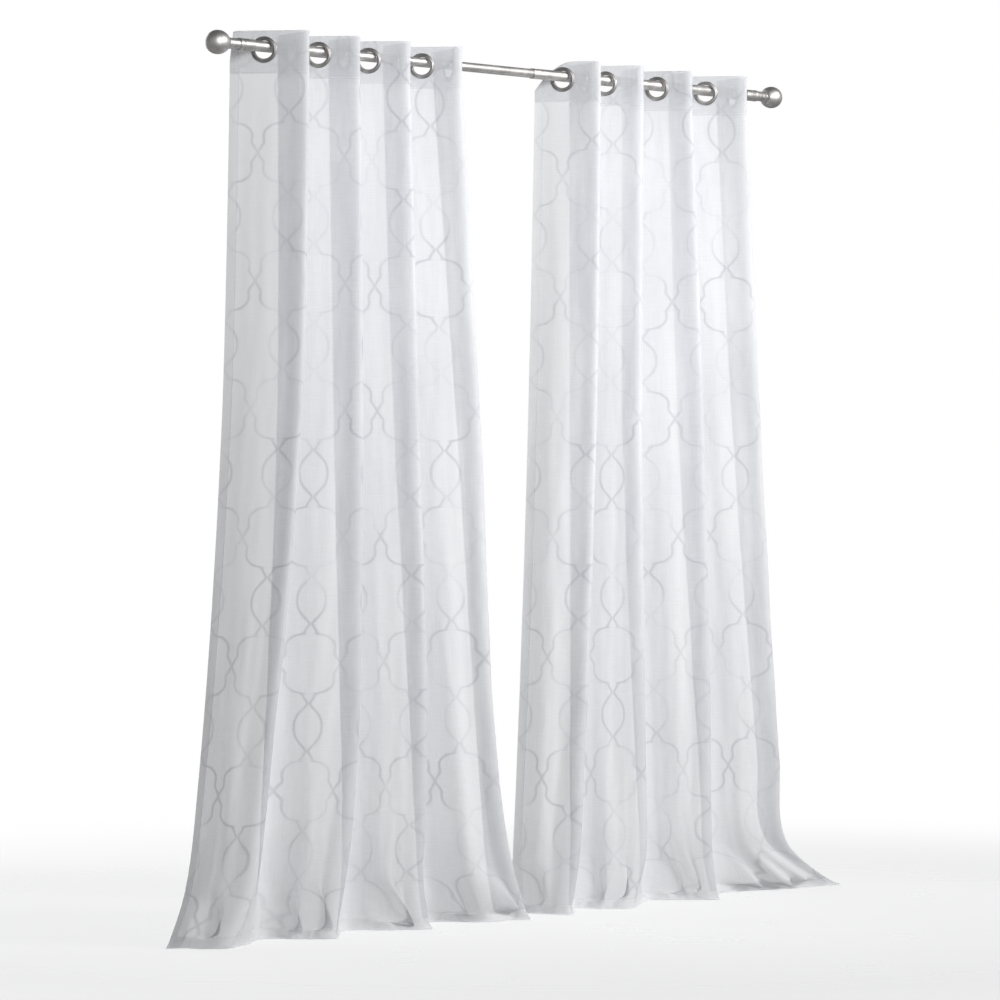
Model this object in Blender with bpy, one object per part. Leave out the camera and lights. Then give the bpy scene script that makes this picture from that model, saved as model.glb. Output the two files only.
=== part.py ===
# A pair of sheer voile curtain panels with eyelet headings, hanging from one telescoping rod.
# Metres, +Z up. X runs along the rod, +Y points to the back, -Y to the front.
# The origin is on the rod's axis, midway between its two finials. The floor lies ROD_HEIGHT below it.

import math

import bmesh
import bpy

MM = 0.001

# Driving sizes of the rod
ROD_HEIGHT = 2065 * MM
SLEEVE_RADIUS = 12.7 * MM
SLEEVE_BORE = 11.6 * MM
TUBE_RADIUS = 11.2 * MM
TUBE_BORE = 10.2 * MM
ROD_HALF = 958 * MM
LEFT_SLEEVE_END = -545 * MM
RIGHT_SLEEVE_END = 68 * MM
TUBE_INSERT = 90 * MM
ROD_SIDES = 24
GAP = 0.3 * MM

# Finial, as a turned profile from the rod's end outwards: distance past the end, radius
FINIAL_PLUG = 20 * MM
FINIAL_PROFILE = [
    (0.3 * MM, 14.0 * MM),
    (4.5 * MM, 14.0 * MM),
    (5.5 * MM, 11.0 * MM),
    (8.5 * MM, 11.0 * MM),
    (9.5 * MM, 15.5 * MM),
]
BALL_RADIUS = 28.0 * MM
BALL_STRETCH = 1.12
BALL_RINGS = 8
BALL_CENTRE = 35 * MM
PLUG_RADIUS = SLEEVE_BORE - GAP

# Eyelet rings
RING_INNER = 21.0 * MM
RING_OUTER = 30.5 * MM
RING_BARREL = 23.2 * MM
RING_CREST = 24.5 * MM
RING_HALF_DEPTH = 3.6 * MM
RING_RIM = 1.9 * MM
RING_LIP = 1.8 * MM
RING_SIDES = 14

# Cloth
CLOTH = 1.5 * MM
HEADING_ABOVE_RING = 43 * MM
HEADING_DEPTH = 100 * MM
HOLE_HALF = 33 * MM
HOLE_SIDES = 12
HOLE_RADIUS = (RING_BARREL + GAP) / math.cos(math.pi / HOLE_SIDES)
EYELET_DROP = 5.5 * MM
HEADING_TOP = HEADING_ABOVE_RING - EYELET_DROP
CORNER_CUTS = (32 * MM, 38 * MM, 44 * MM, 44 * MM, 40 * MM)

# Stations down the cloth: length of cloth below the heading, height above the floor
STATION_LENGTHS = (0.0, 0.76, 1.61, 1.85, 2.01)
STATION_HEIGHTS = (ROD_HEIGHT + HEADING_TOP - HEADING_DEPTH, 1.20, 0.35, 0.12, 1.2 * MM)
BODY_ROWS = (0.12, 0.28, 0.50, 0.76, 1.02, 1.25, 1.45, 1.60, 1.71, 1.80, 1.87, 1.92, 1.97, 2.01)

# Folds of the left panel from its left edge to its right edge, in millimetres, at the heading and at
# the four stations below it: 1.2 m, 0.35 m and 0.12 m above the floor, and on the floor. belly is how
# far the face after the fold swells to the front between this fold and the next.
# name, x at the five stations, y at the five stations, belly at the five stations
LEFT_FOLDS = [
    ("edge_left", (-892, -917, -1023, -1079, -1156), (66, 66, 35, 18, -5), (0, 6, 10, 8, 0)),
    ("front_1", (-776, -802, -935, -998, -1090), (-98, -100, -118, -126, -128), (0, -5, -8, 0, 4)),
    ("back_1", (-735, -745, -812, -835, -850), (86, 80, 48, 30, 12), (0, 7, 12, 10, 6)),
    ("front_2", (-599, -596, -643, -706, -750), (-89, -98, -118, -132, -138), (0, -6, -6, -4, 0)),
    ("back_2", (-568, -560, -560, -570, -590), (86, 80, 50, 30, 14), (0, 4, 10, 14, 10)),
    ("front_3", (-432, -410, -402, -436, -428), (-89, -100, -115, -126, -138), (0, -4, 6, 4, 0)),
    ("back_3", (-382, -355, -320, -312, -300), (86, 80, 46, 26, 12), (0, 8, 30, 42, 34)),
    ("front_4", (-254, -200, -155, -115, -72), (-89, -98, -118, -132, -142), (0, -6, -10, -6, 0)),
    ("edge_right", (-205, -130, -78, -62, -45), (70, 66, 40, 28, 14), (0, 0, 0, 0, 0)),
]

# Folds of the right panel, in the same columns
RIGHT_FOLDS = [
    ("edge_left", (146, 117, 65, 44, 30), (60, 56, 46, 40, 32), (0, 10, 14, 10, 0)),
    ("front_1", (241, 215, 155, 122, 80), (-94, -105, -114, -122, -128), (0, -5, -8, -4, 0)),
    ("back_1", (283, 276, 250, 235, 212), (86, 80, 52, 34, 18), (0, 5, 10, 16, 12)),
    ("front_2", (403, 388, 390, 374, 305), (-89, -98, -106, -116, -126), (0, -6, -8, -4, 0)),
    ("back_2", (488, 480, 500, 502, 500), (86, 80, 52, 36, 20), (0, 8, 12, 6, 0)),
    ("front_3", (592, 632, 648, 634, 640), (-89, -97, -105, -114, -124), (0, -4, -10, -14, -8)),
    ("back_3", (664, 688, 745, 758, 790), (84, 78, 50, 34, 18), (0, 10, 14, 18, 10)),
    ("front_4", (803, 856, 940, 980, 1195), (-94, -98, -94, -88, -64), (0, -8, -10, -6, 0)),
    ("edge_right", (858, 911, 992, 1020, 1245), (70, 62, 46, 38, 32), (0, 0, 0, 0, 0)),
]
FACE_PLACES = (0.25, 0.5, 0.75)


def clear_scene():
    for item in list(bpy.data.objects):
        bpy.data.objects.remove(item, do_unlink=True)


def material(name, colour, roughness, metallic):
    """A plain finish in the part's colour."""
    made = bpy.data.materials.new(name)
    made.use_nodes = True
    shader = made.node_tree.nodes["Principled BSDF"]
    shader.inputs["Base Color"].default_value = (*colour, 1.0)
    shader.inputs["Roughness"].default_value = roughness
    shader.inputs["Metallic"].default_value = metallic
    return made


def place(name, mesh, finish):
    """Puts a mesh in the scene as one named object."""
    thing = bpy.data.objects.new(name, mesh)
    bpy.context.scene.collection.objects.link(thing)
    mesh.materials.append(finish)
    return thing


def turned(name, profile, sides, finish, closed):
    """A solid turned about X. profile holds (x, radius) points; a closed profile makes a tube."""
    shape = bmesh.new()
    rings = []
    for x, radius in profile:
        if radius == 0:
            rings.append([shape.verts.new((x, 0, 0))])
            continue
        ring = []
        for side in range(sides):
            angle = 2 * math.pi * side / sides
            ring.append(shape.verts.new((x, radius * math.cos(angle), radius * math.sin(angle))))
        rings.append(ring)
    pairs = list(zip(rings, rings[1:]))
    if closed:
        pairs.append((rings[-1], rings[0]))
    for near, far in pairs:
        for side in range(sides):
            after = (side + 1) % sides
            corners = [near[side % len(near)], near[after % len(near)]]
            corners += [far[after % len(far)], far[side % len(far)]]
            shape.faces.new(list(dict.fromkeys(corners)))
    bmesh.ops.recalc_face_normals(shape, faces=shape.faces)
    mesh = bpy.data.meshes.new(name)
    shape.to_mesh(mesh)
    shape.free()
    mesh.shade_smooth()
    mesh.set_sharp_from_angle(angle=math.radians(40))
    return place(name, mesh, finish)


def hollow_tube(name, start, end, radius, bore, finish):
    """A length of round tube along the rod, open at both ends."""
    profile = [(start, radius), (end, radius), (end, bore), (start, bore)]
    return turned(name, profile, ROD_SIDES, finish, closed=True)


def finial(name, side, finish):
    """The plug in the rod's end, the collar, the groove and the slightly egg-shaped ball."""
    profile = [(-FINIAL_PLUG, 0), (-FINIAL_PLUG, PLUG_RADIUS), (FINIAL_PROFILE[0][0], PLUG_RADIUS)]
    profile += FINIAL_PROFILE
    half_length = BALL_RADIUS * BALL_STRETCH
    first = math.pi - math.asin(FINIAL_PROFILE[-1][1] / BALL_RADIUS)
    for ring in range(1, BALL_RINGS + 1):
        angle = first * (1 - ring / BALL_RINGS)
        radius = BALL_RADIUS * math.sin(angle) if ring < BALL_RINGS else 0
        profile.append((BALL_CENTRE + half_length * math.cos(angle), radius))
    placed = [(side * (ROD_HALF + x), radius) for x, radius in profile]
    return turned(name, placed, ROD_SIDES, finish, closed=False)


def eased(values, length):
    """One value down the cloth, smooth through its five stations."""
    last = len(STATION_LENGTHS) - 1
    spans = [STATION_LENGTHS[i + 1] - STATION_LENGTHS[i] for i in range(last)]
    slopes = [(values[i + 1] - values[i]) / spans[i] for i in range(last)]
    tangents = [0.0] + [(slopes[i] + slopes[i + 1]) / 2 for i in range(last - 1)] + [0.0]
    place_in = max(i for i in range(last) if STATION_LENGTHS[i] <= length or i == 0)
    span = spans[place_in]
    t = min((length - STATION_LENGTHS[place_in]) / span, 1.0)
    rise = 3 * t * t - 2 * t * t * t
    leave = (t * t * t - 2 * t * t + t) * span
    arrive = (t * t * t - t * t) * span
    start, end = values[place_in], values[place_in + 1]
    return start + (end - start) * rise + tangents[place_in] * leave + tangents[place_in + 1] * arrive


def fold_corners(folds, length):
    """Where each fold's corner lies at this length of cloth below the heading."""
    return [(eased(xs, length) * MM, eased(ys, length) * MM) for _, xs, ys, _ in folds]


def towards(start, end, distance):
    """The point this far from start on the way to end."""
    span = math.dist(start, end)
    return (
        start[0] + (end[0] - start[0]) * distance / span,
        start[1] + (end[1] - start[1]) * distance / span,
    )


def rounded(before, corner, after, cut, steps):
    """A fold's round edge: points on a curve that leaves and meets the flat faces."""
    leave = towards(corner, before, min(cut, 0.42 * math.dist(corner, before)))
    meet = towards(corner, after, min(cut, 0.42 * math.dist(corner, after)))
    points = []
    for step in range(steps + 1):
        t = step / steps
        weights = ((1 - t) ** 2, 2 * t * (1 - t), t * t)
        points.append(tuple(sum(w * p[i] for w, p in zip(weights, (leave, corner, meet))) for i in (0, 1)))
    return points


def eyelet_places(folds):
    """Each face's crossing of the rod's line, and the direction in which the face runs."""
    corners = fold_corners(folds, 0.0)
    found = []
    for start, end in zip(corners, corners[1:]):
        share = start[1] / (start[1] - end[1])
        x = start[0] + (end[0] - start[0]) * share
        span = math.dist(start, end)
        found.append((x, (end[0] - start[0]) / span, (end[1] - start[1]) / span))
    return found


def swelled(start, end, belly):
    """Points along a face that swells to the front between its two folds."""
    span = math.dist(start, end)
    across = ((end[1] - start[1]) / span, (start[0] - end[0]) / span)
    points = []
    for share in FACE_PLACES:
        out = belly * math.sin(math.pi * share)
        points.append(tuple(start[i] + (end[i] - start[i]) * share + across[i] * out for i in (0, 1)))
    return points


def section(folds, length, columns):
    """One level of the cloth seen from above. columns are places along each face, from its crossing."""
    corners = fold_corners(folds, length)
    cut = eased(CORNER_CUTS, length)
    points = [corners[0]]
    for index in range(len(corners) - 1):
        start, end = corners[index], corners[index + 1]
        if columns:
            x, run_x, run_y = eyelet_places(folds)[index]
            points += [(x + run_x * place, run_y * place) for place in columns]
        else:
            points += swelled(start, end, eased(folds[index][3], length) * MM)
        if index + 2 < len(corners):
            points += rounded(start, end, corners[index + 2], cut, 4)
    points.append(corners[-1])
    return points


def hang_depth(run_x, run_y, rod_radius):
    """How far below the rod's axis a slanted eyelet's centre hangs, resting on the rod."""
    inner = RING_INNER * math.cos(math.pi / RING_SIDES)
    steps = 60
    for tenth in range(120, 0, -1):
        depth = tenth * 0.1 * MM
        nearest = 1.0
        for step in range(steps):
            angle = math.pi * step / steps
            across = abs(inner * math.cos(angle) * run_y) - RING_LIP * abs(run_x)
            nearest = min(nearest, math.hypot(max(across, 0), inner * math.sin(angle) - depth))
        if nearest >= rod_radius + GAP:
            return depth
    return 0.0


def eyelet_depths(folds):
    """The hang of each eyelet, which depends on the tube that runs through it."""
    depths = []
    for x, run_x, run_y in eyelet_places(folds):
        on_sleeve = x < LEFT_SLEEVE_END or x > RIGHT_SLEEVE_END
        depths.append(hang_depth(run_x, run_y, SLEEVE_RADIUS if on_sleeve else TUBE_RADIUS))
    return depths


def panel(name, folds, finish):
    """A curtain panel: one sheet with its round holes for the eyelets."""
    shape = bmesh.new()
    thirds = (-HOLE_HALF, -HOLE_HALF / 3, HOLE_HALF / 3, HOLE_HALF)
    top = section(folds, 0.0, thirds)
    heights = [HEADING_TOP] + [-EYELET_DROP - place for place in thirds] + [HEADING_TOP - HEADING_DEPTH]
    rows = [[shape.verts.new((x, y, z)) for x, y in top] for z in heights]
    faces = len(folds) - 1
    first_hole = [1 + face * 9 for face in range(faces)]
    for upper in range(len(rows) - 1):
        for column in range(len(top) - 1):
            in_hole = 1 <= upper <= 3 and any(0 <= column - start < 3 for start in first_hole)
            if not in_hole:
                quad = [rows[upper][column], rows[upper + 1][column]]
                quad += [rows[upper + 1][column + 1], rows[upper][column + 1]]
                shape.faces.new(quad)
    for start, (x, run_x, run_y), depth in zip(first_hole, eyelet_places(folds), eyelet_depths(folds)):
        rim = [rows[1][start + i] for i in range(3)] + [rows[1 + i][start + 3] for i in range(3)]
        rim += [rows[4][start + 3 - i] for i in range(3)] + [rows[4 - i][start] for i in range(3)]
        hole = []
        for index in range(HOLE_SIDES):
            angle = math.radians(135) - 2 * math.pi * index / HOLE_SIDES
            along = HOLE_RADIUS * math.cos(angle)
            hole.append(shape.verts.new((x + run_x * along, run_y * along, HOLE_RADIUS * math.sin(angle) - depth)))
        for index in range(HOLE_SIDES):
            after = (index + 1) % HOLE_SIDES
            shape.faces.new([rim[index], hole[index], hole[after], rim[after]])
    above = rows[-1]
    lower = None
    for length in BODY_ROWS:
        z = eased(STATION_HEIGHTS, length) - ROD_HEIGHT
        row = [shape.verts.new((x, y, z)) for x, y in section(folds, length, ())]
        if lower is None:
            join_heading(shape, above, row, faces)
        else:
            for column in range(len(row) - 1):
                shape.faces.new([lower[column], row[column], row[column + 1], lower[column + 1]])
        lower = row
    bmesh.ops.recalc_face_normals(shape, faces=shape.faces)
    mesh = bpy.data.meshes.new(name)
    shape.to_mesh(mesh)
    shape.free()
    mesh.shade_smooth()
    sheet = place(name, mesh, finish)
    thick = sheet.modifiers.new("Cloth thickness", "SOLIDIFY")
    thick.thickness = CLOTH
    thick.offset = 0.0
    return sheet


def join_heading(shape, upper, lower, faces):
    """The row where the heading's four columns a face become three."""
    above, below = 0, 0
    for face in range(faces):
        wide = upper[above:above + 6]
        narrow = lower[below:below + 5]
        shape.faces.new([wide[0], narrow[0], narrow[1], wide[1]])
        shape.faces.new([wide[1], narrow[1], narrow[2], wide[2]])
        shape.faces.new([wide[2], narrow[2], wide[3]])
        shape.faces.new([wide[3], narrow[2], narrow[3], wide[4]])
        shape.faces.new([wide[4], narrow[3], narrow[4], wide[5]])
        above += 5
        below += 4
        if face + 1 < faces:
            for step in range(4):
                quad = [upper[above + step], lower[below + step]]
                quad += [lower[below + step + 1], upper[above + step + 1]]
                shape.faces.new(quad)
            above += 4
            below += 4


def eyelet(name, place_on_rod, depth, finish):
    """A two-part ring snapped through the cloth, with the groove that grips it."""
    x, run_x, run_y = place_on_rod
    groove = CLOTH / 2 + GAP
    half = [(groove, RING_BARREL), (groove, RING_OUTER), (RING_RIM, RING_OUTER)]
    half += [(RING_HALF_DEPTH, RING_CREST), (RING_LIP, RING_INNER)]
    profile = half + [(-t, radius) for t, radius in reversed(half)]
    ring = turned(name, profile, RING_SIDES, finish, closed=True)
    ring.location = (x, 0, -depth)
    ring.rotation_euler = (0, 0, math.atan2(run_y, run_x) + math.pi / 2)
    return ring


def curtain(side, folds, cloth, metal):
    """One panel and its eyelets."""
    panel(f"panel_{side}", folds, cloth)
    places = zip(eyelet_places(folds), eyelet_depths(folds))
    for number, (spot, depth) in enumerate(places, 1):
        eyelet(f"eyelet_{side}_{number}", spot, depth, metal)


def build():
    clear_scene()
    nickel = material("brushed_nickel", (0.62, 0.60, 0.57), 0.32, 1.0)
    pewter = material("pewter_ring", (0.36, 0.35, 0.34), 0.38, 1.0)
    voile = material("white_voile", (0.90, 0.91, 0.93), 0.85, 0.0)
    hollow_tube("rod_sleeve_left", -ROD_HALF, LEFT_SLEEVE_END, SLEEVE_RADIUS, SLEEVE_BORE, nickel)
    hollow_tube("rod_sleeve_right", RIGHT_SLEEVE_END, ROD_HALF, SLEEVE_RADIUS, SLEEVE_BORE, nickel)
    tube_ends = (LEFT_SLEEVE_END - TUBE_INSERT, RIGHT_SLEEVE_END + TUBE_INSERT)
    hollow_tube("rod_tube", *tube_ends, TUBE_RADIUS, TUBE_BORE, nickel)
    finial("finial_left", -1, nickel)
    finial("finial_right", 1, nickel)
    curtain("left", LEFT_FOLDS, voile, pewter)
    curtain("right", RIGHT_FOLDS, voile, pewter)


build()
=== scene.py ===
# %% [markdown]
# # A pair of sheer voile curtains on one rod
# Two panels of thin white voile hang from sixteen metal eyelets on a brushed nickel rod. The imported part
# gives the true sizes and places. This lesson dresses it: finely turned metal, cloth that lets light through
# its weave, a woven trellis, wrinkles and a hem that spreads on the floor.

import math

import bmesh
import bpy
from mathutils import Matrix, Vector, noise


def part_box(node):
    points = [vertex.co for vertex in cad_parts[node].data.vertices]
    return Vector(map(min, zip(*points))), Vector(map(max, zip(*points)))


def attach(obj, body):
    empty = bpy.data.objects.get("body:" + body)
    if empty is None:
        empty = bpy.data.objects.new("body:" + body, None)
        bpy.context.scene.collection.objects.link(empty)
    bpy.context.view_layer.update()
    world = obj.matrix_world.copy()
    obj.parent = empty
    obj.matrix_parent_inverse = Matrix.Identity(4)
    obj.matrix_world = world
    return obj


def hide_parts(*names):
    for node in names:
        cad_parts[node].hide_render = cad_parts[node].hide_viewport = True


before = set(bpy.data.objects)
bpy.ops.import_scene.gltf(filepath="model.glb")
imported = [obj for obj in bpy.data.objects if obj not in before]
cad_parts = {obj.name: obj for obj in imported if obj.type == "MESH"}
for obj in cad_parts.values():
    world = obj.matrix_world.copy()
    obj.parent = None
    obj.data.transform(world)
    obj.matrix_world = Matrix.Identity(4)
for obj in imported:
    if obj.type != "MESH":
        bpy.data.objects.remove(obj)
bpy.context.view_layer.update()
MM = 0.001
print("nodes in the part:", len(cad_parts))

# %% [markdown]
# ## The camera
# A long lens from well to the left of the rod's middle keeps the rod's slope gentle. It could be aimed with
# a tracking constraint, but plain numbers keep every upright line upright: the camera looks level, and a
# small shift places the horizon.

# %% Camera
# place in metres, turn in degrees, lens and sensor in millimetres, shift as a share of the picture
CAMERA_PLACE = (-8.174, -7.581, -1.040)
CAMERA_TURN = -47.0
CAMERA_LENS = 163.8
CAMERA_SENSOR = 36.0
CAMERA_SHIFT = -0.004
CAMERA_REACH = 60.0

lens = bpy.data.cameras.new("camera")
lens.lens = CAMERA_LENS
lens.sensor_width = CAMERA_SENSOR
lens.shift_y = CAMERA_SHIFT
lens.clip_end = CAMERA_REACH
camera = bpy.data.objects.new("camera", lens)
camera.location = CAMERA_PLACE
camera.rotation_euler = (math.radians(90), 0, math.radians(CAMERA_TURN))
bpy.context.scene.collection.objects.link(camera)
bpy.context.scene.camera = camera
print("camera at", CAMERA_PLACE, "turned", CAMERA_TURN)

# %% [markdown]
# ## Shader sums as plain expressions
# A finish is a small graph of nodes. Wiring it by hand hides the idea in links, so one class wraps a socket
# and lets it be added, multiplied and compared like a number. Another makes every other node.


# %% Sockets that can be added and multiplied
class Amount:
    """A socket that takes part in sums."""

    def __init__(self, graph, socket):
        self.graph = graph
        self.socket = socket

    def sum_with(self, operation, first, second=0.0, third=0.0):
        settings = {"operation": operation}
        return self.graph.node("ShaderNodeMath", settings, {0: first, 1: second, 2: third})

    def __add__(self, other):
        return self.sum_with("ADD", self, other)

    def __radd__(self, other):
        return self.sum_with("ADD", other, self)

    def __sub__(self, other):
        return self.sum_with("SUBTRACT", self, other)

    def __rsub__(self, other):
        return self.sum_with("SUBTRACT", other, self)

    def __mul__(self, other):
        return self.sum_with("MULTIPLY", self, other)

    def __rmul__(self, other):
        return self.sum_with("MULTIPLY", other, self)

    def __truediv__(self, other):
        return self.sum_with("DIVIDE", self, other)

    def __rtruediv__(self, other):
        return self.sum_with("DIVIDE", other, self)

    def __abs__(self):
        return self.sum_with("ABSOLUTE", self)

    def root(self):
        return self.sum_with("SQRT", self)

    def at_most(self, other):
        return self.sum_with("MINIMUM", self, other)

    def at_least(self, other):
        return self.sum_with("MAXIMUM", self, other)

    def repeated(self, period):
        """Distance to the nearest whole multiple of the period."""
        return abs(self.sum_with("WRAP", self, period / 2, -period / 2))

    def ramp(self, start, end):
        """0 at start, 1 at end, smooth between."""
        settings = {"interpolation_type": "SMOOTHSTEP", "clamp": True}
        return self.graph.node("ShaderNodeMapRange", settings, {0: self, 1: start, 2: end, 3: 0.0, 4: 1.0})


class Graph:
    """The nodes of one material or of the world."""

    def __init__(self, tree):
        self.tree = tree
        self.tree.nodes.clear()

    def node(self, kind, settings, sockets, output=0):
        made = self.tree.nodes.new(kind)
        for key, value in settings.items():
            if key == "stops":
                self.set_stops(made.color_ramp.elements, value)
            elif key == "curve":
                self.set_curve(made.mapping, value)
            else:
                setattr(made, key, value)
        for key, value in sockets.items():
            if isinstance(value, Amount):
                self.tree.links.new(value.socket, made.inputs[key])
            else:
                made.inputs[key].default_value = value
        return Amount(self, made.outputs[output]) if len(made.outputs) else None

    def set_stops(self, elements, stops):
        while len(elements) < len(stops):
            elements.new(1.0)
        for element, (position, colour) in zip(elements, stops):
            element.position = position
            element.color = (*colour, 1.0)

    def set_curve(self, mapping, points):
        curve = mapping.curves[0]
        while len(curve.points) < len(points):
            curve.points.new(1.0, 1.0)
        for point, place in zip(curve.points, points):
            point.location = place
        mapping.update()

    def parts(self, vector):
        """The three numbers of a vector."""
        split = self.node("ShaderNodeSeparateXYZ", {}, {0: vector})
        return [Amount(self, split.socket.node.outputs[i]) for i in range(3)]

    def joined(self, x, y, z=0.0):
        return self.node("ShaderNodeCombineXYZ", {}, {0: x, 1: y, 2: z})

    def speckle(self, vector, scale, detail=2.0):
        """Smooth random numbers about a half."""
        sockets = {"Vector": vector, "Scale": scale, "Detail": detail}
        return self.node("ShaderNodeTexNoise", {}, sockets)

    def blended(self, share, first, second):
        """The mix of two colours."""
        settings = {"data_type": "RGBA"}
        sockets = {0: share, 6: first, 7: second}
        return self.node("ShaderNodeMix", settings, sockets, output=2)


def new_finish(name):
    """A material with an empty graph."""
    finish = bpy.data.materials.new(name)
    finish.use_nodes = True
    return finish, Graph(finish.node_tree)


def colour(red, green, blue):
    return (red, green, blue, 1.0)


def surface(graph, sockets):
    """The shader that the material shows."""
    shader = graph.node("ShaderNodeBsdfPrincipled", {}, sockets)
    graph.node("ShaderNodeOutputMaterial", {}, {"Surface": shader})


print("shader sums ready")

# %% [markdown]
# ## Brushed nickel
# The rod is plated steel tube, brushed while it turns, so the fine scratches run round it. Stretched noise
# gives them: very fine along the rod and long around it. The scratches change the roughness and a faint
# bump, and a broader noise keeps the satin from looking sprayed on.

# %% Nickel and pewter finishes
# brush lines to a metre along the rod and round it, and cloudy patches to a metre
BRUSH_LINES = 1400.0
BRUSH_LENGTH = 30.0
BRUSH_CLOUDS = 38.0
BRUSH_DEPTH = 0.2 * MM


def brushed_metal(name, light, dark, roughness, spread, relief):
    """A satin metal whose brush lines run round its X axis."""
    finish, graph = new_finish(name)
    place = graph.node("ShaderNodeTexCoord", {}, {}, output=3)
    x, y, z = graph.parts(place)
    lines = graph.speckle(graph.joined(x * BRUSH_LINES, y * BRUSH_LENGTH, z * BRUSH_LENGTH), 1.0, 3.0)
    clouds = graph.speckle(place, BRUSH_CLOUDS, 3.0)
    tone = (lines * 0.45 + clouds * 0.55).ramp(0.36, 0.64)
    height = lines + clouds * 0.3
    bump = graph.node(
        "ShaderNodeBump", {}, {"Strength": relief, "Distance": BRUSH_DEPTH, "Height": height}
    )
    surface(graph, {
        "Base Color": graph.blended(tone, dark, light),
        "Metallic": 1.0,
        "Roughness": lines * spread + clouds * spread + (roughness - spread),
        "Normal": bump,
    })
    return finish


nickel = brushed_metal(
    "brushed_nickel", colour(0.78, 0.76, 0.735), colour(0.56, 0.545, 0.525), 0.48, 0.10, 0.35
)
pewter = brushed_metal(
    "antique_pewter", colour(0.50, 0.485, 0.475), colour(0.26, 0.25, 0.245), 0.44, 0.12, 0.45
)
print("metals:", nickel.name, pewter.name)

# %% [markdown]
# ## Turned metal
# Tubes, finials and eyelets are all round, so each is one profile swept round an axis. A Screw modifier
# would do it too, but making the rings of points directly gives even quads and keeps each piece at the
# place that the part gives it.


# %% Turning a profile round the X axis
SHARP_ANGLE = math.radians(50)


def turned(name, profile, sides, finish, closed):
    """A piece turned about X. profile holds (x, radius) points in metres."""
    shape = bmesh.new()
    rings = []
    for x, radius in profile:
        if radius == 0:
            rings.append([shape.verts.new((x, 0, 0))])
            continue
        angles = [2 * math.pi * side / sides for side in range(sides)]
        rings.append([shape.verts.new((x, radius * math.cos(a), radius * math.sin(a))) for a in angles])
    pairs = list(zip(rings, rings[1:])) + ([(rings[-1], rings[0])] if closed else [])
    for near, far in pairs:
        for side in range(sides):
            after = (side + 1) % sides
            corners = [near[side % len(near)], near[after % len(near)]]
            corners += [far[after % len(far)], far[side % len(far)]]
            shape.faces.new(list(dict.fromkeys(corners)))
    bmesh.ops.recalc_face_normals(shape, faces=shape.faces)
    mesh = bpy.data.meshes.new(name)
    shape.to_mesh(mesh)
    shape.free()
    mesh.shade_smooth()
    mesh.set_sharp_from_angle(angle=SHARP_ANGLE)
    mesh.materials.append(finish)
    piece = bpy.data.objects.new(name, mesh)
    bpy.context.scene.collection.objects.link(piece)
    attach(piece, "root")
    return piece


def softened(corners, cut, steps=3):
    """The same profile with each inner corner rounded off."""
    points = [corners[0]]
    for before, corner, after in zip(corners, corners[1:], corners[2:]):
        corner_point = Vector(corner)
        ways = [Vector(end) - corner_point for end in (before, after)]
        ends = [corner_point + way.normalized() * min(cut, way.length / 2) for way in ways]
        for step in range(steps + 1):
            t = step / steps
            mixed = ends[0] * (1 - t) ** 2 + corner_point * 2 * t * (1 - t) + ends[1] * t * t
            points.append(tuple(mixed))
    return points + [corners[-1]]


print("edges sharper than", round(math.degrees(SHARP_ANGLE)), "degrees stay crisp")

# %% [markdown]
# ## The rod
# Curtain rods of this kind telescope: a thinner middle tube slides inside two wider end tubes. Only the
# step where the wide tube ends shows it, so the wide tubes' ends get a small rolled edge.

# %% Rod tubes
ROD_SIDES = 72
SLEEVE_RADIUS = 12.7 * MM
SLEEVE_BORE = 11.6 * MM
TUBE_RADIUS = 11.2 * MM
TUBE_BORE = 10.2 * MM
RIM_ROUND = 0.45 * MM


def rod_tube(name, node, radius, bore):
    """A tube as long as the part's own, with its rims rounded over."""
    low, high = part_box(node)
    rims = [(low[0], bore), (low[0], radius), (high[0], radius), (high[0], bore)]
    middle = (0.5 * (low[0] + high[0]), bore)
    loop = softened([middle] + rims + [middle], RIM_ROUND)
    piece = turned(name, loop[:-1], ROD_SIDES, nickel, True)
    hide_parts(node)
    return piece


rod_pieces = [
    rod_tube("rod_middle_tube", "rod_tube", TUBE_RADIUS, TUBE_BORE),
    rod_tube("rod_end_tube_left", "rod_sleeve_left", SLEEVE_RADIUS, SLEEVE_BORE),
    rod_tube("rod_end_tube_right", "rod_sleeve_right", SLEEVE_RADIUS, SLEEVE_BORE),
]
for piece in rod_pieces:
    print(piece.name, "length", round(piece.dimensions.x, 3), "m")

# %% [markdown]
# Near each end the wide tube wears a pressed cap that holds the finial's plug: a narrow band, a groove and
# a smooth length. It is only a millimetre and a half thick, so it is added here as a ring over the tube.

# %% End caps
# from the rod's middle to the end of its tubes
ROD_HALF = 958 * MM
TURNED_ROUND = 0.5 * MM
# distance from the tube's end, radius, in millimetres
CAP_CORNERS = [
    (29, 12.6),
    (29, 14.5),
    (40, 14.5),
    (40, 13.0),
    (44, 13.0),
    (44, 14.2),
    (76, 14.2),
    (76, 12.6),
]


def end_cap(name, side):
    """The pressed cap, turned."""
    profile = softened([(x * MM, radius * MM) for x, radius in CAP_CORNERS], TURNED_ROUND)
    placed = [(side * (ROD_HALF - x), radius) for x, radius in profile]
    return turned(name, placed, ROD_SIDES, nickel, True)


for name, side in (("rod_cap_left", -1), ("rod_cap_right", 1)):
    cap = end_cap(name, side)
    print(cap.name, "is", round(cap.dimensions.x / MM, 1), "mm long")

# %% [markdown]
# ## The finials
# Each end is closed by a turned plug: a collar against the tube, a narrow groove, a small shoulder and a
# ball that is slightly longer than it is wide. A smooth circle formula makes the ball, and the collar's
# corners are rounded as a casting's would be.

# %% Finials
BALL_RADIUS = 28.0 * MM
BALL_STRETCH = 1.12
BALL_CENTRE = 35 * MM
BALL_RINGS = 80
SHOULDER_RADIUS = 15.5 * MM
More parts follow.
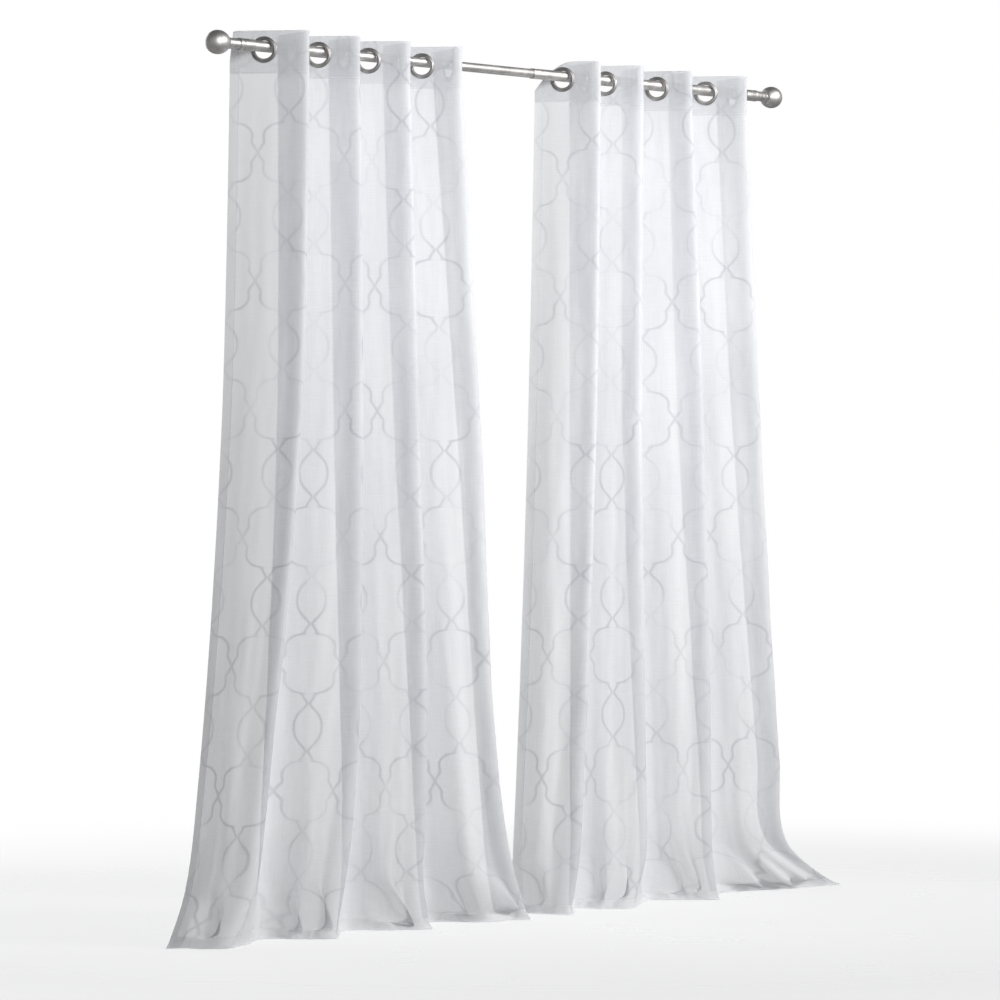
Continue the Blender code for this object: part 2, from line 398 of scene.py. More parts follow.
# distance past the tube's end, radius
COLLAR_CORNERS = [
    (-20 * MM, 0.0),
    (-20 * MM, 11.3 * MM),
    (0.3 * MM, 11.3 * MM),
    (0.3 * MM, 14.0 * MM),
    (4.5 * MM, 14.0 * MM),
    (5.5 * MM, 11.0 * MM),
    (8.5 * MM, 11.0 * MM),
    (9.3 * MM, SHOULDER_RADIUS),
]


def finial(name, node, side):
    """The plug, collar, groove and ball, turned in one."""
    first = math.pi - math.asin(SHOULDER_RADIUS / BALL_RADIUS)
    profile = softened(COLLAR_CORNERS, TURNED_ROUND)
    for ring in range(1, BALL_RINGS + 1):
        angle = first * (1 - ring / BALL_RINGS)
        radius = BALL_RADIUS * math.sin(angle) if ring < BALL_RINGS else 0
        profile.append((BALL_CENTRE + BALL_RADIUS * BALL_STRETCH * math.cos(angle), radius))
    placed = [(side * (ROD_HALF + x), radius) for x, radius in profile]
    piece = turned(name, placed, ROD_SIDES, nickel, False)
    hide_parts(node)
    return piece


finials = [finial("finial_ball_left", "finial_left", -1), finial("finial_ball_right", "finial_right", 1)]
print("finials are", [round(piece.dimensions.x, 3) for piece in finials], "m long")

# %% [markdown]
# ## Where the cloth folds
# The cloth zigzags through its eyelets, so seen from above it is a row of nine corners with eight flat faces
# between them. The same corners are given at five levels down the cloth. Everything between comes from one
# smooth curve through the five, which is how the folds lean and spread towards the floor.
# Numbers are in millimetres. belly is how far the face after a fold swells to the front.

# %% Fold tables
ROD_HEIGHT = 2065 * MM
HEADING_TOP = 37.5 * MM
HEADING_DEPTH = 100 * MM
# at the five levels: how far each corner is rounded off, the cloth above it, and its height off the floor
CORNER_CUTS = (38 * MM, 44 * MM, 52 * MM, 50 * MM, 44 * MM)
STATION_LENGTHS = (0.0, 0.76, 1.61, 1.85, 2.01)
STATION_HEIGHTS = (ROD_HEIGHT + HEADING_TOP - HEADING_DEPTH, 1.20, 0.35, 0.12, 1.2 * MM)

# name, x at the five levels, y at the five levels, belly at the five levels
LEFT_FOLDS = [
    ("edge_left", (-892, -917, -1023, -1079, -1156), (66, 66, 35, 18, -5), (0, 6, 10, 8, 0)),
    ("front_1", (-776, -802, -935, -998, -1090), (-98, -100, -118, -126, -128), (0, -5, -8, 0, 4)),
    ("back_1", (-735, -745, -812, -835, -850), (86, 80, 48, 30, 12), (0, 7, 12, 10, 6)),
    ("front_2", (-599, -596, -643, -706, -750), (-89, -98, -118, -132, -138), (0, -6, -6, -4, 0)),
    ("back_2", (-568, -560, -560, -570, -590), (86, 80, 50, 30, 14), (0, 4, 10, 14, 10)),
    ("front_3", (-432, -410, -402, -436, -428), (-89, -100, -115, -126, -138), (0, -4, 6, 4, 0)),
    ("back_3", (-382, -355, -320, -312, -300), (86, 80, 46, 26, 12), (0, 8, 30, 42, 34)),
    ("front_4", (-254, -200, -155, -115, -72), (-89, -98, -118, -132, -142), (0, -6, -10, -6, 0)),
    ("edge_right", (-205, -130, -78, -62, -45), (70, 66, 40, 28, 14), (0, 0, 0, 0, 0)),
]
RIGHT_FOLDS = [
    ("edge_left", (146, 117, 65, 44, 30), (60, 56, 46, 40, 32), (0, 10, 14, 10, 0)),
    ("front_1", (241, 215, 155, 122, 80), (-94, -105, -114, -122, -128), (0, -5, -8, -4, 0)),
    ("back_1", (283, 276, 250, 235, 212), (86, 80, 52, 34, 18), (0, 5, 10, 16, 12)),
    ("front_2", (403, 388, 390, 374, 305), (-89, -98, -106, -116, -126), (0, -6, -8, -4, 0)),
    ("back_2", (488, 480, 500, 502, 500), (86, 80, 52, 36, 20), (0, 8, 12, 6, 0)),
    ("front_3", (592, 632, 648, 634, 640), (-89, -97, -105, -114, -124), (0, -4, -10, -14, -8)),
    ("back_3", (664, 688, 745, 758, 790), (84, 78, 50, 34, 18), (0, 10, 14, 18, 10)),
    ("front_4", (803, 856, 940, 980, 1195), (-94, -98, -94, -88, -64), (0, -8, -10, -6, 0)),
    ("edge_right", (858, 911, 992, 1020, 1245), (70, 62, 46, 38, 32), (0, 0, 0, 0, 0)),
]
print("folds a panel:", len(LEFT_FOLDS))

# %% [markdown]
# A smooth curve through the five levels gives the folds at any length down the cloth. Straight lines between
# the levels would show as bends in every fold. Each corner of the zigzag is rounded, because a fold in voile
# is a soft roll, not a crease.

# %% From five levels to any level
def eased(values, length):
    """One value down the cloth, smooth through its five levels."""
    last = len(STATION_LENGTHS) - 1
    spans = [STATION_LENGTHS[i + 1] - STATION_LENGTHS[i] for i in range(last)]
    slopes = [(values[i + 1] - values[i]) / spans[i] for i in range(last)]
    tangents = [0.0] + [(slopes[i] + slopes[i + 1]) / 2 for i in range(last - 1)] + [0.0]
    place_in = max(i for i in range(last) if STATION_LENGTHS[i] <= length or i == 0)
    span = spans[place_in]
    t = max(0.0, min((length - STATION_LENGTHS[place_in]) / span, 1.0))
    rise = 3 * t * t - 2 * t * t * t
    leave = (t * t * t - 2 * t * t + t) * span
    arrive = (t * t * t - t * t) * span
    start, end = values[place_in], values[place_in + 1]
    return start + (end - start) * rise + tangents[place_in] * leave + tangents[place_in + 1] * arrive


# steps across each face and round each corner, and the most of a face that one corner may take
FACE_STEPS = 20
CORNER_STEPS = 8
CORNER_SHARE = 0.42


def section(folds, length):
    """One level of the cloth seen from above, as points from its left edge to its right."""
    corners = [Vector((eased(xs, length), eased(ys, length))) * MM for _, xs, ys, _ in folds]
    cut = eased(CORNER_CUTS, length)
    last = len(corners) - 1
    points = []
    for index in range(last):
        start, end = corners[index], corners[index + 1]
        run = (end - start).normalized()
        out = Vector((run.y, -run.x))
        trim = min(cut, CORNER_SHARE * (end - start).length)
        near = start + run * (trim if index else 0.0)
        far = end - run * (trim if index + 1 < last else 0.0)
        belly = eased(folds[index][3], length) * MM
        for step in range(FACE_STEPS + 1):
            share = step / FACE_STEPS
            points.append(near.lerp(far, share) + out * belly * math.sin(math.pi * share) ** 2)
        if index + 1 < last:
            after = corners[index + 2]
            meet = end + (after - end).normalized() * min(cut, CORNER_SHARE * (after - end).length)
            for step in range(1, CORNER_STEPS):
                t = step / CORNER_STEPS
                points.append(far * (1 - t) ** 2 + end * 2 * t * (1 - t) + meet * t * t)
    return points


def widths_along(points):
    """How far along the cloth each point lies."""
    total = [0.0]
    for near, far in zip(points, points[1:]):
        total.append(total[-1] + (far - near).length)
    return total


for side, folds in (("left", LEFT_FOLDS), ("right", RIGHT_FOLDS)):
    for length in STATION_LENGTHS:
        print(side, "cloth across at", length, "m:", round(widths_along(section(folds, length))[-1], 3))

# %% [markdown]
# ## The cloth
# A panel is one open sheet: a grid of points that follows the folds, with a column for every few
# millimetres of cloth. The top 100 mm is turned over to the back and sewn down, so the grid starts at the
# turned edge, climbs to the top, goes over, and comes down the front to the floor. Cloth simulation would
# give softer wrinkles, but it can't be told where each fold of a real pair hangs, so the folds are built and
# the small wrinkles come from noise that grows away from the stiff heading.

# %% Cloth sizes
TURNED_GAP = 1.0 * MM
HEADING_ROWS = 18
BODY_ROWS = 130
ROW_CROWDING = 1.6
FLOOR_CLEARANCE = 1.0 * MM
HOLE_RADIUS = 24.4 * MM
FLAT_WIDTH = 1.40
# how far the free top corner droops, as a share of the heading, and over how much cloth
DROOP_DEPTH = 0.72
LEFT_DROOP = 0.01
RIGHT_DROOP = 0.10


def body_lengths():
    """Lengths down the cloth below the heading, closer together towards the floor."""
    total = STATION_LENGTHS[-1]
    return [total * (1 - (1 - row / BODY_ROWS) ** ROW_CROWDING) for row in range(1, BODY_ROWS + 1)]


def outward(points):
    """The way to the front of the cloth at each point of a section."""
    ways = []
    for index in range(len(points)):
        along = points[min(index + 1, len(points) - 1)] - points[max(index - 1, 0)]
        ways.append(Vector((along.y, -along.x)).normalized())
    return ways


print("rows below the heading:", BODY_ROWS)

# %% [markdown]
# ## Where the hem meets the floor
# The cloth is a little longer than the drop, so it can't hang straight to its hem. It buckles just above the
# floor into small billows, and the hem itself lies on the floor in a wavy line. A billow has a place on a
# face of the zigzag, a width, a push to the front and a slant. One that leans to a side laps over the cloth
# beside it, and one that sags hangs in a lip just above the floor, with the cloth tucked back under it into
# shade. Cloth simulation could find such billows too, but not where this pair has them.

# %% Billows above the hem
# face, share along the face, half width, push, slant, lean, sag, the last five in millimetres
LEFT_BILLOWS = [
    (0, 0.66, 56, 30, 40, 60, 18),
    (2, 0.16, 50, 58, 24, 88, 38),
    (2, 0.80, 46, 44, 30, 66, 28),
    (4, 0.54, 58, 58, 26, 88, 38),
    (6, 0.14, 56, 58, 36, 92, 38),
    (6, 0.78, 46, 30, 20, 50, 20),
]
RIGHT_BILLOWS = [
    (0, 0.40, 50, 46, 24, 76, 30),
    (2, 0.20, 50, 56, 20, 86, 38),
    (2, 0.84, 40, 26, 30, 36, 16),
    (4, 0.20, 50, 56, 30, 88, 38),
    (4, 0.76, 40, 30, 20, 44, 20),
    (6, 0.12, 46, 56, 24, 86, 38),
    (6, 0.44, 48, 52, 26, 84, 38),
    (6, 0.74, 46, 32, 34, 50, 22),
]
BILLOW_LENGTH = 0.175
# shares of a billow's length where its lip hangs and where the cloth is tucked back in
LIP_AT = 0.50
TUCKED_AT = 0.72
TOE_LENGTH = 0.06
TOE_PUSH = 8 * MM
HEM_WAVE = 10 * MM
HEM_LIFT = 4 * MM
WAVES_A_METRE = 11.0
LAP_ROUNDNESS = 1.6
BILLOW_TAPER = 1.3


def rising(length, reach):
    """0 until this far above the hem, then up to 1 at the hem."""
    share = (length - STATION_LENGTHS[-1]) / reach + 1.0
    return min(max(share, 0.0), 1.0)


def lapped(in_billow):
    """0 at a billow's top, 1 at its lip, and 0 again where the cloth is tucked back under the lip."""
    if in_billow < LIP_AT:
        return math.sin(0.5 * math.pi * in_billow / LIP_AT) ** LAP_ROUNDNESS
    tucked = min(1.0, (in_billow - LIP_AT) / (TUCKED_AT - LIP_AT))
    return math.cos(0.5 * math.pi * tucked) ** LAP_ROUNDNESS


def billow(billows, across, u, in_billow):
    """How far the billows push this place of the cloth to the front, to the right and down."""
    columns_a_face = FACE_STEPS + CORNER_STEPS
    push = side = down = 0.0
    for face, share, half, kick, slant, lean, sag in billows:
        middle = across[round(face * columns_a_face + share * FACE_STEPS)]
        middle += slant * MM * (in_billow - 0.5)
        near = max(0.0, 1.0 - abs(u - middle) / (half * MM)) ** BILLOW_TAPER * MM
        if kick * near > push:
            push, side, down = kick * near, lean * near, sag * near
    swell = lapped(in_billow)
    return push * swell, side * swell, down * swell


print("billows on the two panels:", len(LEFT_BILLOWS), len(RIGHT_BILLOWS))

# %% [markdown]
# ## Wrinkles
# Voile that was folded in its packet keeps soft vertical flutes, small creases, and a restless edge where
# it meets the floor. Three noises of different size push the sheet along its own outward direction. The
# free top corner of the right panel has no eyelet close to it, so it droops.

# %% Wrinkles and the rows of the sheet
SEED_STEP = 7.0
# name, wrinkles to a metre across and down the cloth, push in millimetres at the heading and at the floor
WRINKLES = [
    ("flutes", 22.0, 1.3, 0.0, 5.0),
    ("creases", 48.0, 6.0, 0.6, 2.2),
    ("crumple", 90.0, 55.0, 0.25, 0.7),
]


def wrinkle(across, down, seed):
    """How far the cloth stands out at this place of the flat cloth."""
    share = min(max(down / STATION_LENGTHS[-1], 0.0), 1.0)
    push = 0.0
    for row, (_, fine_across, fine_down, top, bottom) in enumerate(WRINKLES):
        spot = Vector((across * fine_across, down * fine_down, seed + SEED_STEP * row))
        push += noise.noise(spot) * (top + (bottom - top) * share) * MM
    return push


def sheet_rows(folds, billows, seed, droop):
    """Every row of the sheet, as (points in space, length down the flat cloth). droop is how much of the
    heading's first corner flops down, in metres of cloth."""
    heading = section(folds, 0.0)
    across = widths_along(heading)
    ways = outward(heading)
    foot = HEADING_TOP - HEADING_DEPTH
    held = [1 - DROOP_DEPTH * max(0.0, 1 - u / droop) ** 2 for u in across]
    rows = []
    for step in range(HEADING_ROWS + 1):
        down = HEADING_DEPTH * (1 - step / HEADING_ROWS)
        rise = HEADING_DEPTH - max(down, TURNED_GAP / 2)
        row = [(*(p - way * TURNED_GAP), foot + rise * keep) for p, way, keep in zip(heading, ways, held)]
        rows.append((row, -down))
    crest = [p - way * TURNED_GAP / 2 for p, way in zip(heading, ways)]
    rows.append(([(*p, foot + HEADING_DEPTH * keep) for p, keep in zip(crest, held)], 0.0))
    for step in range(HEADING_ROWS + 1):
        down = HEADING_DEPTH * step / HEADING_ROWS
        rise = HEADING_DEPTH - max(down, TURNED_GAP / 2)
        rows.append(([(*p, foot + rise * keep) for p, keep in zip(heading, held)], down))
    waves = [noise.noise(Vector((u * WAVES_A_METRE, seed, 0.5))) for u in across]
    for length in body_lengths():
        points = section(folds, length)
        z = max(eased(STATION_HEIGHTS, length), FLOOR_CLEARANCE) - ROD_HEIGHT
        in_billow = rising(length, BILLOW_LENGTH)
        at_toe = rising(length, TOE_LENGTH) ** 2
        row = []
        for point, way, u, wave in zip(points, outward(points), across, waves):
            push, side, down = billow(billows, across, u, in_billow)
            out = wrinkle(u, length, seed) + push + TOE_PUSH * at_toe + HEM_WAVE * wave * in_billow
            x, y = point + way * out
            height = max(z - down, FLOOR_CLEARANCE - ROD_HEIGHT) + HEM_LIFT * max(wave, 0.0) * at_toe
            row.append((x + side, y, height))
        before = rows[-1][0]
        drop = sum(math.dist(near, far) for near, far in zip(before, row)) / len(row)
        rows.append((row, rows[-1][1] + drop))
    return rows, across


LEFT_SEED = 3.0
RIGHT_SEED = 11.0
left_rows, left_across = sheet_rows(LEFT_FOLDS, LEFT_BILLOWS, LEFT_SEED, LEFT_DROOP)
right_rows, right_across = sheet_rows(RIGHT_FOLDS, RIGHT_BILLOWS, RIGHT_SEED, RIGHT_DROOP)
print("points in the left sheet:", len(left_rows) * len(left_across))
print("cloth from top edge to hem:", round(left_rows[-1][1], 3), "and", round(right_rows[-1][1], 3), "m")

# %% [markdown]
# ## Holes for the eyelets
# Each face of the zigzag has a round hole where the rod passes. The part already knows where each eyelet
# hangs, so the hole's centre is read from the eyelet's own box, and the points near it are moved out to
# the hole's edge. A boolean would cut a truer circle but leave long thin faces around it, and the ring hides
# the edge.

# %% Sheet meshes
HOLE_SPAN = 30 * MM
HOLE_CATCH = 1.5 * MM
HOLE_MARGIN = 0.4 * MM
HEADING_QUADS = HEADING_ROWS * 2 + 2
EYELETS = len(LEFT_FOLDS) - 1


def eyelet_centres(side):
    """The middle of each of a panel's eyelets, from the part."""
    centres = []
    for number in range(1, EYELETS + 1):
        low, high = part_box(f"eyelet_{side}_{number}")
        centres.append(Vector([(low[i] + high[i]) / 2 for i in range(3)]))
    return centres


def cut_hole(shape, rows, centre, first, last):
    """Removes the faces inside one eyelet and moves the points about them onto its circle."""
    inside = []
    for face in shape.faces:
        if face[rows] < HEADING_QUADS and first <= face.calc_center_median().x <= last:
            if (face.calc_center_median() - centre).length < HOLE_RADIUS:
                inside.append(face)
    bmesh.ops.delete(shape, geom=inside, context="FACES")
    for vert in shape.verts:
        if first <= vert.co.x <= last and abs(vert.co.z - centre.z) < HOLE_RADIUS:
            way = vert.co - centre
            if way.length < HOLE_RADIUS + HOLE_CATCH:
                vert.co = centre + way.normalized() * (HOLE_RADIUS + HOLE_MARGIN)


def voile_sheet(name, side, rows, across):
    """One panel of cloth."""
    shape = bmesh.new()
    row_of = shape.faces.layers.int.new("row")
    laid = shape.loops.layers.uv.new("cloth_metres")
    scale = FLAT_WIDTH / across[-1]
    grid = [[shape.verts.new(point) for point in points] for points, _ in rows]
    for upper in range(len(rows) - 1):
        for column in range(len(across) - 1):
            quad = [grid[upper][column], grid[upper + 1][column]]
            quad += [grid[upper + 1][column + 1], grid[upper][column + 1]]
            face = shape.faces.new(quad)
            face[row_of] = upper
            places = [(upper, column), (upper + 1, column), (upper + 1, column + 1), (upper, column + 1)]
            for loop, (row, spot) in zip(face.loops, places):
                loop[laid].uv = (across[spot] * scale, rows[row][1])
    for centre in eyelet_centres(side):
        cut_hole(shape, row_of, centre, centre.x - HOLE_SPAN, centre.x + HOLE_SPAN)
    mesh = bpy.data.meshes.new(name)
    shape.to_mesh(mesh)
    shape.free()
    mesh.shade_smooth()
    piece = bpy.data.objects.new(name, mesh)
    bpy.context.scene.collection.objects.link(piece)
    return piece


voile_left = voile_sheet("voile_left", "left", left_rows, left_across)
voile_right = voile_sheet("voile_right", "right", right_rows, right_across)
for piece in (voile_left, voile_right):
    print(piece.name, "is", [round(size, 3) for size in piece.dimensions], "m")

# %% [markdown]
# ## The voile itself
# Voile is a plain weave of fine, tightly twisted threads with open gaps between them: some light passes
# straight through, and the rest meets white thread. A whole-thread model would need millions of faces, so
# the gaps are given by Alpha. The trellis is woven in with a thicker, duller yarn that fills the gaps, so it
# reads as a soft grey line against the light and a raised line up close. That yarn is uneven, so the line
# fades in places.
#
# The trellis repeats in mirror image in both directions, so a quarter of one repeat is enough: a curve that
# gives the line's distance from the column at each height. Folding the cloth's coordinates with a wrap and
# an absolute value draws the rest.

# %% Trellis curve
TRELLIS_HALF_HEIGHT = 0.1485
TRELLIS_HALF_WIDTH = 0.073
TRELLIS_LINE = 3.8 * MM
# shares of the line's width where it starts to fade and where it is gone
LINE_FULL = 0.25
LINE_GONE = 1.35
# height above the link's middle, distance from the column's centre line, in metres
TRELLIS_QUARTER = [
    (0.0, 0.034),
    (0.012, 0.033),
    (0.025, 0.028),
    (0.040, 0.016),
    (0.051, 0.006),
    (0.0555, 0.0035),
    (0.060, 0.0055),
    (0.068, 0.011),
    (0.075, 0.015),
    (0.079, 0.020),
    (0.082, 0.031),
    (0.085, 0.040),
    (0.090, 0.048),
    (0.097, 0.055),
    (0.106, 0.0590),
    (0.116, 0.0590),
    (0.125, 0.0585),
    (0.130, 0.061),
    (0.137, 0.066),
    (0.1485, 0.073),
]
CURVE_STEP = 0.012


def trellis(graph, u, v, shift_u, shift_v):
    """How much of the line covers this spot: 1 on the line, 0 off it."""
    points = [(v_up / TRELLIS_HALF_HEIGHT, out / TRELLIS_HALF_WIDTH) for v_up, out in TRELLIS_QUARTER]
    sideways = (u + shift_u).repeated(2 * TRELLIS_HALF_WIDTH)
    height = (v + shift_v).repeated(2 * TRELLIS_HALF_HEIGHT) / TRELLIS_HALF_HEIGHT
    here = graph.node("ShaderNodeFloatCurve", {"curve": points}, {"Value": height})
    above = graph.node("ShaderNodeFloatCurve", {"curve": points}, {"Value": height + CURVE_STEP})
    steepness = TRELLIS_HALF_WIDTH / (CURVE_STEP * TRELLIS_HALF_HEIGHT)
    slope = (above - here) * steepness
    off = abs(sideways - here * TRELLIS_HALF_WIDTH) / (slope * slope + 1.0).root()
    return 1.0 - off.ramp(LINE_FULL * TRELLIS_LINE, LINE_GONE * TRELLIS_LINE)


print("one trellis repeat is", 2 * TRELLIS_HALF_WIDTH, "by", 2 * TRELLIS_HALF_HEIGHT, "m")

# %% [markdown]
# Uneven threads make the ground of the cloth: noise stretched far along one thread direction and then along
# the other. The hems are two layers, so they are whiter and let less light through, and one row of stitches
# holds each of them. The turned-over heading is drawn a little more open than two layers would be, because
# its lower line hardly shows on a real sheer.

# %% Voile finish
SIDE_HEM = 0.022
BOTTOM_HEM = 0.030
HEM_BLUR = 0.8 * MM
# how much of the light the ground stops, how unevenly, and what each part of the cloth adds to it
GROUND_ALPHA = 0.70
UNEVEN_ALPHA = 0.24
TRELLIS_ALPHA = 0.09
HEADING_ALPHA = -0.12
HEM_ALPHA = 0.12
STITCH_ALPHA = 0.25
STITCH_LENGTH = 0.004
STITCH_GAP = (0.4 * MM, 0.8 * MM)
STITCH_WIDTH = (0.4 * MM, 1.0 * MM)
HEADING_STITCHES = HEADING_DEPTH - 3 * MM
# changes to a metre of cloth, across and down
YARN_FUZZ = (900.0, 240.0)
THREADS_ACROSS = (22.0, 620.0)
THREADS_DOWN = (620.0, 12.0)
CLOUDS = (9.0, 3.0)
YARN_THICKNESS = (6.0, 4.5)
VOILE_SHADED = colour(0.80, 0.815, 0.845)
VOILE_LIT = colour(0.86, 0.87, 0.89)
HEM_WHITE = colour(0.93, 0.935, 0.945)
HEM_SHARE = 0.6
YARN_GREY = colour(0.56, 0.57, 0.61)
YARN_SHARE = 0.72
VOILE_RELIEF = 0.5 * MM
# how far the trellis is moved across and down each panel, in metres
LEFT_TRELLIS = (0.003, 0.163)
RIGHT_TRELLIS = (-0.002, 0.157)


def across_and_down(graph, u, v, changes, detail):
    """Noise with its own fineness across and down the cloth."""
    across, down = changes
    return graph.speckle(graph.joined(u * across, v * down), 1.0, detail)


def voile(name, cloth_length, trellis_shift):
    """Thin plain weave with a woven trellis and sewn hems."""
    finish, graph = new_finish(name)
    place = graph.node("ShaderNodeUVMap", {"uv_map": "cloth_metres"}, {})
    u, v, _ = graph.parts(place)
    thickness = across_and_down(graph, u, v, YARN_THICKNESS, 2.0).ramp(0.38, 0.62)
    line = trellis(graph, u, v, *trellis_shift) * (0.35 + thickness * 0.65)
    yarn = across_and_down(graph, u, v, YARN_FUZZ, 1.0)
    weave = across_and_down(graph, u, v, THREADS_ACROSS, 2.0) * 0.5
    weave = weave + across_and_down(graph, u, v, THREADS_DOWN, 2.0) * 0.5
    clouds = across_and_down(graph, u, v, CLOUDS, 3.0)
    side = (u - SIDE_HEM).at_most(FLAT_WIDTH - SIDE_HEM - u)
    below = v - (cloth_length - BOTTOM_HEM)
    hem = (1.0 - side.ramp(-HEM_BLUR, HEM_BLUR)).at_least(below.ramp(-HEM_BLUR, HEM_BLUR))
    line = line * (1.0 - hem * HEM_SHARE)
    heading = 1.0 - (abs(v) - HEADING_DEPTH).ramp(-HEM_BLUR, HEM_BLUR)
    seams = abs(side).at_most(abs(below)).at_most(abs(abs(v) - HEADING_STITCHES))
    dashes = (u + v).repeated(STITCH_LENGTH).ramp(*STITCH_GAP)
    stitches = (1.0 - seams.ramp(*STITCH_WIDTH)) * dashes
    alpha = GROUND_ALPHA + (weave - 0.5) * UNEVEN_ALPHA + (clouds - 0.5) * UNEVEN_ALPHA
    alpha = alpha + line * TRELLIS_ALPHA + heading * HEADING_ALPHA + hem * HEM_ALPHA + stitches * STITCH_ALPHA
    pale = graph.blended(clouds.ramp(0.35, 0.65), VOILE_SHADED, VOILE_LIT)
    pale = graph.blended(hem * HEM_SHARE, pale, HEM_WHITE)
    toned = graph.blended(line * YARN_SHARE, pale, YARN_GREY)
    height = weave * 0.6 + yarn * 0.4 + line * (0.5 + yarn) + stitches * 0.8
    bump = graph.node("ShaderNodeBump", {}, {"Strength": 0.3, "Distance": VOILE_RELIEF, "Height": height})
    surface(graph, {
        "Base Color": toned,
        "Roughness": 0.75,
        "Alpha": alpha.at_most(0.97).at_least(0.1),
        "Specular IOR Level": 0.25,
        "Sheen Weight": 0.15,
        "Sheen Roughness": 0.4,
        "Normal": bump,
    })
    return finish


voile_left.data.materials.append(voile("voile_left_cloth", left_rows[-1][1], LEFT_TRELLIS))
voile_right.data.materials.append(voile("voile_right_cloth", right_rows[-1][1], RIGHT_TRELLIS))
print("voile ground lets", round(1 - GROUND_ALPHA, 2), "of the light through")

# %% [markdown]
# ## Hanging the sheets
# Each sheet stands for its node of the part, which is hidden, wears the voile finish made above, and hangs
# from the root. The size it was cut to is printed.

for piece, side, rows in ((voile_left, "left", left_rows), (voile_right, "right", right_rows)):
    flat_length = rows[-1][1] + HEADING_DEPTH
    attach(piece, "root")
    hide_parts(f"panel_{side}")
    print(piece.name, "is cut", FLAT_WIDTH, "by", round(flat_length, 3), "m")

# %% [markdown]
# ## Eyelet rings
# An eyelet is two pressed cups that snap together through the cloth. Each face of the ring slopes from a
# raised crest down to a thin rim, and turns in at the hole as a rounded lip that slides on the rod. The
# profile is the same on both sides of the cloth, and the ring's tilt is the tilt of its face of the zigzag.
# It is made once as a list and turned sixteen times.

# %% Rings
RING_SIDES = 72
# distance from the cloth, radius, in millimetres
RING_HALF = [
    (1.05, 23.2),
    (1.05, 30.0),
    (1.25, 30.4),
    (1.70, 30.5),
    (2.05, 30.2),
    (2.55, 29.0),
    (2.85, 28.0),
    (2.75, 27.6),
    (3.00, 27.2),
    (3.40, 26.0),
    (3.58, 25.0),
    (3.60, 24.4),
    (3.45, 23.4),
    (3.05, 22.3),
    (2.40, 21.5),
    (1.50, 21.05),
]


def face_turns(folds):
    """The direction of each face at the heading, as an angle about Z."""
    corners = [Vector((xs[0], ys[0])) for _, xs, ys, _ in folds]
    return [math.atan2(end.y - start.y, end.x - start.x) for start, end in zip(corners, corners[1:])]


def ring(name, node, centre, turn):
    """One eyelet, at the part's place."""
    half = [(t * MM, radius * MM) for t, radius in RING_HALF]
    profile = half + [(-t, radius) for t, radius in reversed(half)]
    piece = turned(name, profile, RING_SIDES, pewter, True)
    piece.location = centre
    piece.rotation_euler = (0, 0, turn + math.pi / 2)
    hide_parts(node)
    return piece


for side, folds in (("left", LEFT_FOLDS), ("right", RIGHT_FOLDS)):
    for number, (centre, turn) in enumerate(zip(eyelet_centres(side), face_turns(folds)), 1):
        ring(f"ring_{side}_{number}", f"eyelet_{side}_{number}", centre, turn)
    print("rings on the", side, "panel:", number)

# %% [markdown]
# ## Floor, light and surroundings
# The pair hangs in plain soft light. A big soft light from the right gives the fold edges their bright
# strips and leaves the faces that look left a little grey, which is what makes the folds read. The floor is
# pale and fades out, so that no horizon cuts the picture. A curved backdrop would hide the horizon too, but
# would stand in the way of the light from behind, which the cloth needs.

# %% Floor
# in metres: the floor's side, and how far out it starts to fade and is gone
FLOOR_SIZE = 9.0
FLOOR_SOLID = 1.6
FLOOR_GONE = 3.6
FLOOR_ALPHA = 0.26
FLOOR_GAP = 0.5 * MM

mesh = bpy.data.meshes.new("floor")
half = FLOOR_SIZE / 2
corners = [(-half, -half, 0), (half, -half, 0), (half, half, 0), (-half, half, 0)]
mesh.from_pydata(corners, [], [(0, 1, 2, 3)])
floor = bpy.data.objects.new("floor", mesh)
floor.location = (0, 0, -ROD_HEIGHT - FLOOR_GAP)
bpy.context.scene.collection.objects.link(floor)

floor_finish, graph = new_finish("pale_floor")
x, y, _ = graph.parts(graph.node("ShaderNodeTexCoord", {}, {}, output=3))
distance = (x * x + y * y).root()
grain = graph.speckle(graph.joined(x * 3.0, y * 3.0), 1.0, 4.0)
surface(graph, {
    "Base Color": graph.blended(grain, colour(0.93, 0.93, 0.935), colour(0.97, 0.97, 0.975)),
    "Roughness": 0.8,
    "Specular IOR Level": 0.1,
    "Alpha": (1.0 - distance.ramp(FLOOR_SOLID, FLOOR_GONE)) * FLOOR_ALPHA,
})
mesh.materials.append(floor_finish)
print("floor at", round(floor.location.z, 4))

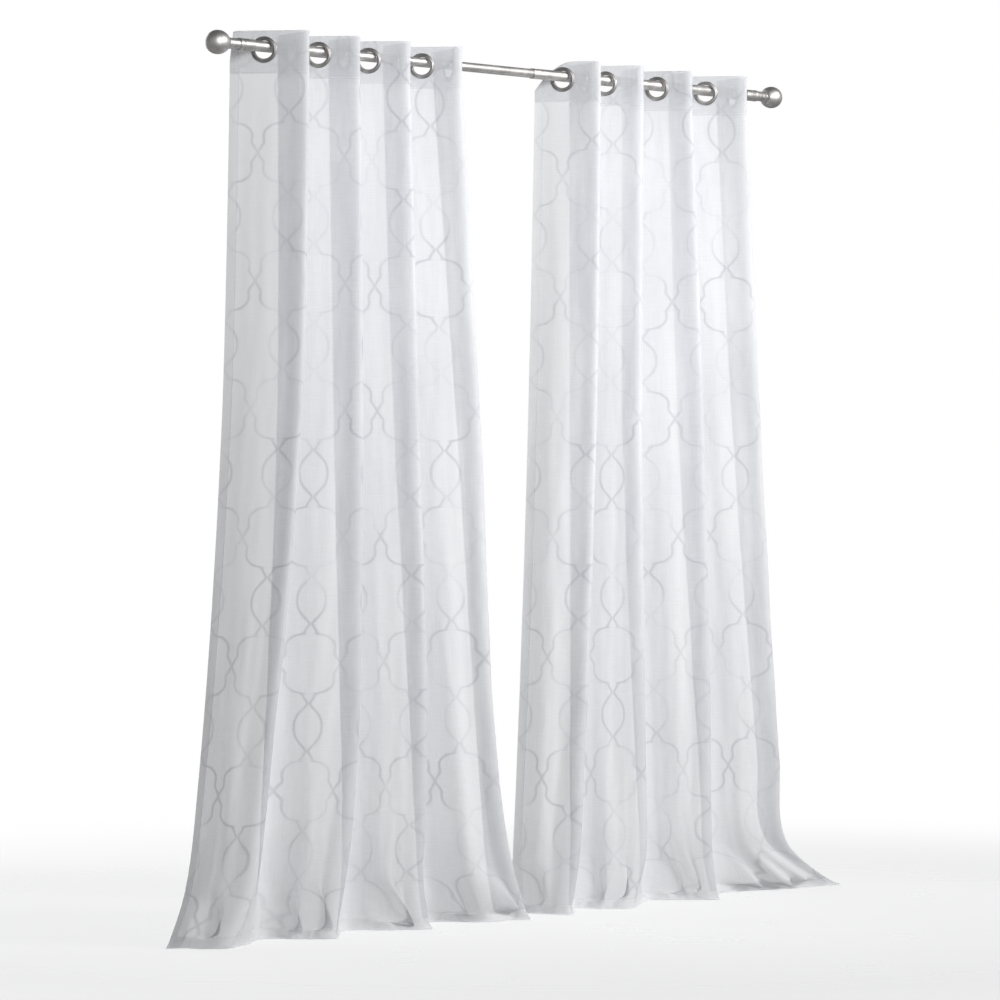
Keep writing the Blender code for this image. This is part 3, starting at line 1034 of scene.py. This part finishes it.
# %% Lights
# name, place, what it is aimed at, width, power in watts, spread in degrees
LIGHTS = [
    ("key_right", (2.6, -4.8, 1.6), (0.3, 0.0, -0.8), 2.2, 27, 50),
    ("front_left", (-1.6, -4.6, 0.9), (0.0, 0.0, 0.1), 2.0, 15, 50),
    ("back_soft", (0.4, 4.6, 0.8), (0.0, 0.0, -1.0), 3.6, 110, 180),
]
for name, place, aim, width, power, spread in LIGHTS:
    lamp = bpy.data.lights.new(name, "AREA")
    lamp.shape = "SQUARE"
    lamp.size = width
    lamp.energy = power
    lamp.spread = math.radians(spread)
    light = bpy.data.objects.new(name, lamp)
    light.location = place
    light.rotation_euler = (Vector(aim) - Vector(place)).to_track_quat("-Z", "Y").to_euler()
    bpy.context.scene.collection.objects.link(light)
    print("light", name, power, "W")

# %% [markdown]
# The camera sees plain white all round. The metal and the cloth see a softer surrounding that is brighter
# at eye level than overhead, because a polished tube in an all-white place would look like plastic.

# %% Surroundings
FELT_STRENGTH = 0.34

world = bpy.data.worlds.new("surroundings")
bpy.context.scene.world = world
world.use_nodes = True
graph = Graph(world.node_tree)
direction = graph.node("ShaderNodeTexCoord", {}, {}, output=0)
_, _, up = graph.parts(direction)
sky = graph.node("ShaderNodeValToRGB", {"stops": [
    (0.0, (0.55, 0.55, 0.56)),
    (0.44, (0.72, 0.72, 0.73)),
    (0.52, (0.95, 0.95, 0.96)),
    (0.66, (0.62, 0.63, 0.65)),
    (1.0, (0.30, 0.31, 0.33)),
]}, {"Fac": up * 0.5 + 0.5})
seen = graph.node("ShaderNodeBackground", {}, {"Color": colour(1, 1, 1), "Strength": 1.0})
felt = graph.node("ShaderNodeBackground", {}, {"Color": sky, "Strength": FELT_STRENGTH})
from_camera = graph.node("ShaderNodeLightPath", {}, {})
mixed = graph.node("ShaderNodeMixShader", {}, {0: from_camera, 1: felt, 2: seen})
graph.node("ShaderNodeOutputWorld", {}, {"Surface": mixed})
bpy.context.scene.view_settings.view_transform = "Standard"
# light may pass through this many layers of the open cloth
bpy.context.scene.cycles.transparent_max_bounces = 32
print("surroundings ready")
